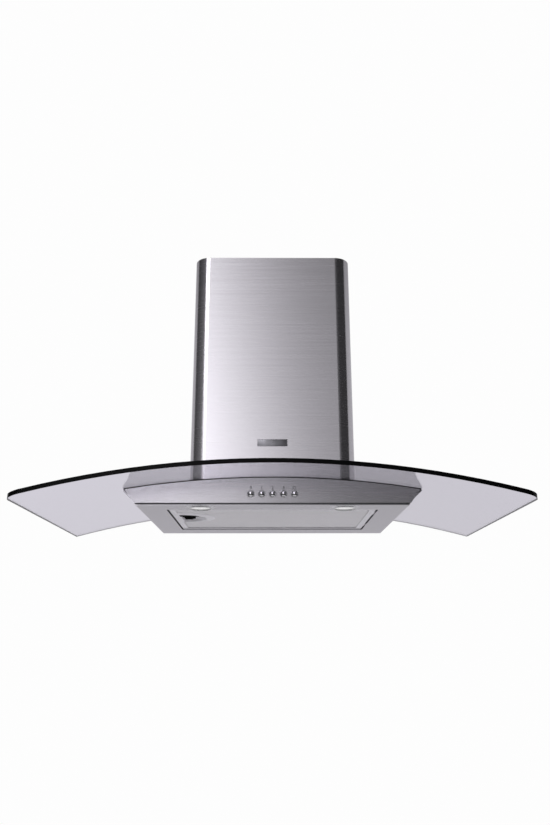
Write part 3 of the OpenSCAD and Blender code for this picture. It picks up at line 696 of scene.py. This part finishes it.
def make_gap_strip():
    """Grey strip set into the gap between the fascia and the underside panel; its grey is painted
    shade standing in for the shadow in that gap.
    """
    setback, depth = 3.6 * MM, 1.6 * MM
    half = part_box("underside_panel")[1].x - 1 * MM
    back = FASCIA_Y + setback
    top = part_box("front_fascia")[0].z + 1 * MM
    shape = bmesh.new()
    soft_block(shape, (-half, back - depth, UNDER + 1.1 * MM), (half, back, top), 0.2 * MM)
    mesh = as_mesh("painted_gap_shade_mesh", shape, 40)
    # The strip's grey plastic is painted shade for the gap.
    piece("painted_gap_shade", mesh, finishes["grey_plastic"], "hood", "grey_plastic")


def make_badge():
    """Plain plate with a raised border."""
    border, proud = 1.2 * MM, 0.25 * MM
    low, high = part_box("badge_plate")
    shape = bmesh.new()
    soft_block(shape, low, high, 0.3 * MM, 3)
    for x0, z0, x1, z1 in (
        (low.x, low.z, high.x, low.z + border),
        (low.x, high.z - border, high.x, high.z),
        (low.x, low.z, low.x + border, high.z),
        (high.x - border, low.z, high.x, high.z),
    ):
        soft_block(shape, (x0, low.y - proud, z0), (x1, high.y, z1), 0.2 * MM, 2)
    mesh = as_mesh("badge_mesh", shape, 30)
    piece("badge", mesh, finishes["badge"], "hood", "badge", "badge_plate")


# ---- Filter --------------------------------------------------------------

# The finger cup, in millimetres: centre and radius of its round side
CUP_X, CUP_Y, CUP_R = -178, -215, 46
CUP_FLAT = CUP_X - 7.5  # its flat side, at the lip
CUP_FLAT_OUTER = CUP_FLAT - 1.5
CUP_FLAT_INNER = CUP_X - 4
TONGUE_Y = (-216.2, -203.8)  # slot in the cup for the latch's tongue


def cup_outline(grow, height):
    """D outline of the finger cup, grown outwards, at a height over the underside."""
    radius = CUP_R + grow
    flat = min(max(CUP_FLAT - grow, CUP_FLAT_OUTER), CUP_FLAT_INNER)
    points = [(flat, CUP_Y - radius)]
    points += arc((CUP_X, CUP_Y), radius, -90, 90, 48)
    points += [(flat, CUP_Y + radius), (flat, TONGUE_Y[1]), (flat, TONGUE_Y[0])]
    return [under(x, y, height) for x, y in points]


def make_finger_cup():
    """Pressed D-shaped cup with a rolled lip and a slot for the latch."""
    rim = [(15, 2.9), (12, 2.6), (4, 1.5), (2, 1.0), (0, 0.7), (-1.5, 1.2)]
    inside = [(-2.6, 2.8), (-3.4, 4.6), (-4.8, 6.6), (-8, 8.1), (-13, 8.7), (-18, 8.8)]
    slot_from = len(rim) + 1
    slot_bands = range(slot_from, slot_from + 3)
    shape = bmesh.new()
    loft(shape, [cup_outline(*section) for section in rim + inside], slot_bands=slot_bands)
    mesh = as_mesh("cup_mesh", shape, 40)
    finish = finishes["frame_aluminium"]
    cup = piece("finger_cup", mesh, finish, "filter", "frame_aluminium", "filter_handle")
    sheet = cup.modifiers.new("thickness", "SOLIDIFY")
    sheet.thickness = 0.3 * MM
    sheet.offset = 0


def make_finger_grip():
    """Black crescent along the front of the cup, with a softened lower edge: painted shadow under the
    cup's front lip.
    """
    chord, left, radius = -241, -184.5, 42
    crescent = [(left, chord), (left, CUP_Y - 41.5)]
    crescent += arc((CUP_X, CUP_Y), radius, -96, -41, 16)
    # Its lower edge draws in towards a line across the crescent: (how far, height)
    middle, reach = -250, 8
    sections = [(0, 4.8), (0, 1.2), (-0.3, 0.9), (-0.9, 0.8)]
    outlines = [
        [under(x, y - step * (y - middle) / reach, height) for x, y in crescent]
        for step, height in sections
    ]
    shape = bmesh.new()
    loft(shape, outlines, close_first=True)
    mesh = as_mesh("painted_lip_shadow_mesh", shape, 40)
    # The matte black crescent is painted shadow at the cup's front lip.
    piece("painted_lip_shadow", mesh, matte_black, "filter", "black_plastic")


def make_latch():
    """Ribbed black slide with its tongue."""
    tongue_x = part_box("filter_latch")[0].x / MM
    low_y, high_y = TONGUE_Y
    play = 0.5
    ribs, pitch, rib_w = 5, 3, 1.6
    shape = bmesh.new()
    soft_block(shape, under(-179, -215, 2.4), under(-162, -194, 8), 0.8 * MM, 3)
    soft_block(shape, under(-164, -214, 2.8), under(-157, -200, 7.9), 0.8 * MM, 3)
    tongue = (under(tongue_x, low_y + play, 5.2), under(-178, high_y - play, 7.9))
    soft_block(shape, *tongue, 0.4 * MM, 2)
    for i in range(ribs):
        x = -178 + pitch * i
        soft_block(shape, under(x, -213, 1.5), under(x + rib_w, -196, 2.8), 0.5 * MM, 2)
    mesh = as_mesh("latch_mesh", shape, 35)
    piece("latch_slide", mesh, matte_black, "latch", "black_plastic", "filter_latch")


def mesh_field():
    """Extent of the filter's mesh, just past the frame's opening: x0, x1, y0, y1 and height."""
    low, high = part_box("filter_frame")
    inset = 11 * MM
    return low.x + inset, high.x - inset, low.y + inset, high.y - inset, low.z + 1.1 * MM


def in_cup(x, y):
    """Whether a point of the mesh lies where the cup is let in."""
    dx, dy = x / MM - CUP_X, y / MM - CUP_Y
    reach = CUP_R + 13
    return abs(dy) < reach and (dx <= 0 or dx * dx + dy * dy < reach**2)


def make_lattice():
    """Expanded aluminium: rows of zigzag strands that meet at their corners."""
    x0, x1, y0, y1, face = mesh_field()
    long_way, short_way = 4.6 * MM, 2.5 * MM
    columns = int((x1 - x0) / long_way)
    rows = int((y1 - y0) / short_way)
    half_w, half_t = 0.52 * MM, 0.02 * MM
    swing, lift = short_way * 0.42, 0.04 * MM
    section = ((half_w, -half_t), (half_w, half_t), (-half_w, half_t), (-half_w, -half_t))
    shape = bmesh.new()
    for row in range(rows):
        middle = y0 + (row + 0.5) * (y1 - y0) / rows
        previous = None
        for column in range(columns + 1):
            x = x0 + column * (x1 - x0) / columns
            y = middle + swing * (1 if (row + column) % 2 else -1)
            z = face + lift * (1 if column % 2 else -1)
            if in_cup(x, y):
                previous = None
                continue
            ring = [shape.verts.new((x, y + a, z + b)) for a, b in section]
            if previous:
                for k in range(4):
                    j = (k + 1) % 4
                    shape.faces.new((previous[k], previous[j], ring[j], ring[k]))
            previous = ring
    mesh = as_mesh("lattice_mesh", shape)
    finish = finishes["mesh_aluminium"]
    piece("filter_lattice", mesh, finish, "filter", "mesh_aluminium", "filter_mesh")


def make_backing():
    """Crumpled aluminium sheet right over the lattice."""
    x0, x1, y0, y1, face = mesh_field()
    steps_x, steps_y = 120, 72
    over, wave = 0.6 * MM, 0.15 * MM
    probe = 1 * MM
    shape = bmesh.new()
    grid = []
    for j in range(steps_y + 1):
        y = y0 + (y1 - y0) * j / steps_y
        line = []
        for i in range(steps_x + 1):
            x = x0 + (x1 - x0) * i / steps_x
            z = face + over + wave * math.sin(i * 2.1) * math.cos(j * 1.7)
            line.append(shape.verts.new((x, y, z)))
        grid.append(line)
    for near, far in zip(grid, grid[1:]):
        for i in range(steps_x):
            if not in_cup(near[i].co.x + probe, near[i].co.y + probe):
                shape.faces.new((near[i], near[i + 1], far[i + 1], far[i]))
    loose = [vert for vert in shape.verts if not vert.link_faces]
    bmesh.ops.delete(shape, geom=loose, context="VERTS")
    mesh = as_mesh("backing_mesh", shape, 60)
    backing = piece("filter_backing", mesh, finishes["mesh_aluminium"], "filter", "mesh_aluminium")
    solid = backing.modifiers.new("thickness", "SOLIDIFY")
    solid.thickness = 0.3 * MM
    solid.offset = 1


# ---- Stage ---------------------------------------------------------------


def make_floor():
    """Plain pale floor well below the hood."""
    half, low = 1.5, -1.55
    corners = [(-half, -half, low), (half, -half, low), (half, half, low), (-half, half, low)]
    mesh = bpy.data.meshes.new("floor")
    mesh.from_pydata(corners, [], [(0, 1, 2, 3)])
    floor = bpy.data.objects.new("floor", mesh)
    bpy.context.scene.collection.objects.link(floor)
    made, tree, shader = new_finish("floor_paint", roughness=0.8)
    shader.inputs["Emission Color"].default_value = (1, 1, 1, 1)
    shader.inputs["Emission Strength"].default_value = 0.25
    cloud = noise(tree, (3, 3, 3))
    tone = mix_colour(tree, spread(tree, cloud, 0, 1), (0.78, 0.78, 0.78), (0.82, 0.82, 0.82))
    join(tree, tone, shader.inputs["Base Color"])
    mesh.materials.append(made)


make_camera()
make_world()
finish_cad_nodes()
make_lamps()
make_buttons()
make_marks()
make_gap_strip()
make_badge()
make_finger_cup()
make_finger_grip()
make_latch()
make_lattice()
make_backing()
make_floor()
